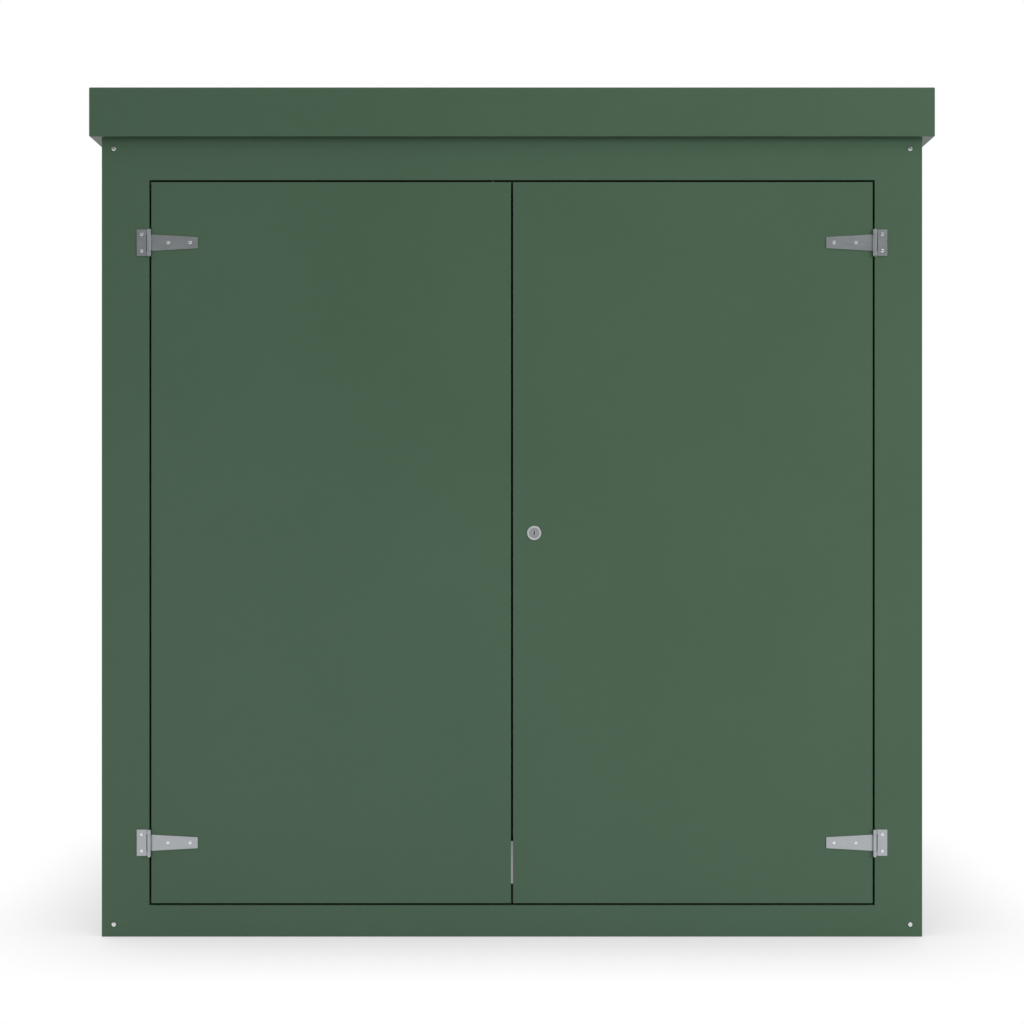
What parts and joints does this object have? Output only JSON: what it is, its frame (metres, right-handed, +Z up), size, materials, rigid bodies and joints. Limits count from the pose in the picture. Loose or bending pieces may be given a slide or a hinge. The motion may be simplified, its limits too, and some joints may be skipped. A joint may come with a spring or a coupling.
{
  "type": "fibreglass walk-in enclosure",
  "caption": "Box-shaped glass-fibre equipment enclosure with a flat lapped lid and a pair of outward-opening doors on tee hinges with a cylinder lock.",
  "frame": {"origin": "on the ground at the centre of the plan of the lid and the body", "axes": "+Z up, -Y out of the front face with the doors, +X to the right as the doors are faced"},
  "size_m": [2.05, 1.3, 2.064],
  "materials": {
    "green_gelcoat": "satin self-coloured gelcoat on glass-reinforced plastic sandwich panel",
    "grey_laminate": "pultruded glass-reinforced plastic section, natural grey",
    "stainless_steel": "satin stainless steel",
    "lock_nickel": "satin nickel plate",
    "seal_rubber": "black closed-cell rubber strip"
  },
  "bodies": {
    "enclosure": {"front_post_left": "green_gelcoat", "front_post_right": "green_gelcoat", "front_head": "green_gelcoat", "front_sill": "green_gelcoat", "side_wall_left": "green_gelcoat", "side_wall_right": "green_gelcoat", "back_wall": "green_gelcoat", "roof_cap": "green_gelcoat", "corner_angle_front_left": "grey_laminate", "corner_angle_front_right": "grey_laminate", "corner_angle_back_left": "grey_laminate", "corner_angle_back_right": "grey_laminate", "base_angle_front": "grey_laminate", "base_angle_back": "grey_laminate", "base_angle_left": "grey_laminate", "base_angle_right": "grey_laminate", "roof_rail_front": "grey_laminate", "roof_rail_back": "grey_laminate", "roof_rail_left": "grey_laminate", "roof_rail_right": "grey_laminate", "door_stop_left": "green_gelcoat", "door_stop_right": "green_gelcoat", "door_stop_head": "green_gelcoat", "door_stop_sill": "green_gelcoat", "hinge_plate_left_top": "stainless_steel", "hinge_plate_left_bottom": "stainless_steel", "hinge_plate_right_top": "stainless_steel", "hinge_plate_right_bottom": "stainless_steel", "hinge_pins": "stainless_steel"},
    "left_door": {"left_leaf": "green_gelcoat", "left_seal": "seal_rubber", "hinge_strap_left_top": "stainless_steel", "hinge_strap_left_bottom": "stainless_steel", "bolt_plates": "stainless_steel", "lock_keeper": "stainless_steel"},
    "right_door": {"right_leaf": "green_gelcoat", "right_seal": "seal_rubber", "hinge_strap_right_top": "stainless_steel", "hinge_strap_right_bottom": "stainless_steel", "lock_rose": "lock_nickel", "lock_cylinder": "lock_nickel"},
    "lock": {"lock_plug": "lock_nickel", "lock_tongue": "stainless_steel"},
    "top_bolt": {"top_bolt_rod": "stainless_steel"},
    "bottom_bolt": {"bottom_bolt_rod": "stainless_steel"}
  },
  "joints": [
    {"name": "left_door_hinge", "type": "hinge", "parent": "enclosure", "child": "left_door", "pos_m": [-0.883, -0.63025, 0.96], "axis": [0, 0, -1], "range_deg": [0, 170]},
    {"name": "right_door_hinge", "type": "hinge", "parent": "enclosure", "child": "right_door", "pos_m": [0.883, -0.63025, 0.96], "axis": [0, 0, 1], "range_deg": [0, 170]},
    {"name": "lock_turn", "type": "hinge", "parent": "right_door", "child": "lock", "pos_m": [0.054, -0.6, 0.984], "axis": [0, 1, 0], "range_deg": [0, 90]},
    {"name": "top_bolt_slide", "type": "slide", "parent": "left_door", "child": "top_bolt", "axis": [0, 0, 1], "range_m": [0, 0.02]},
    {"name": "bottom_bolt_slide", "type": "slide", "parent": "left_door", "child": "bottom_bolt", "axis": [0, 0, -1], "range_m": [0, 0.02]}
  ]
}
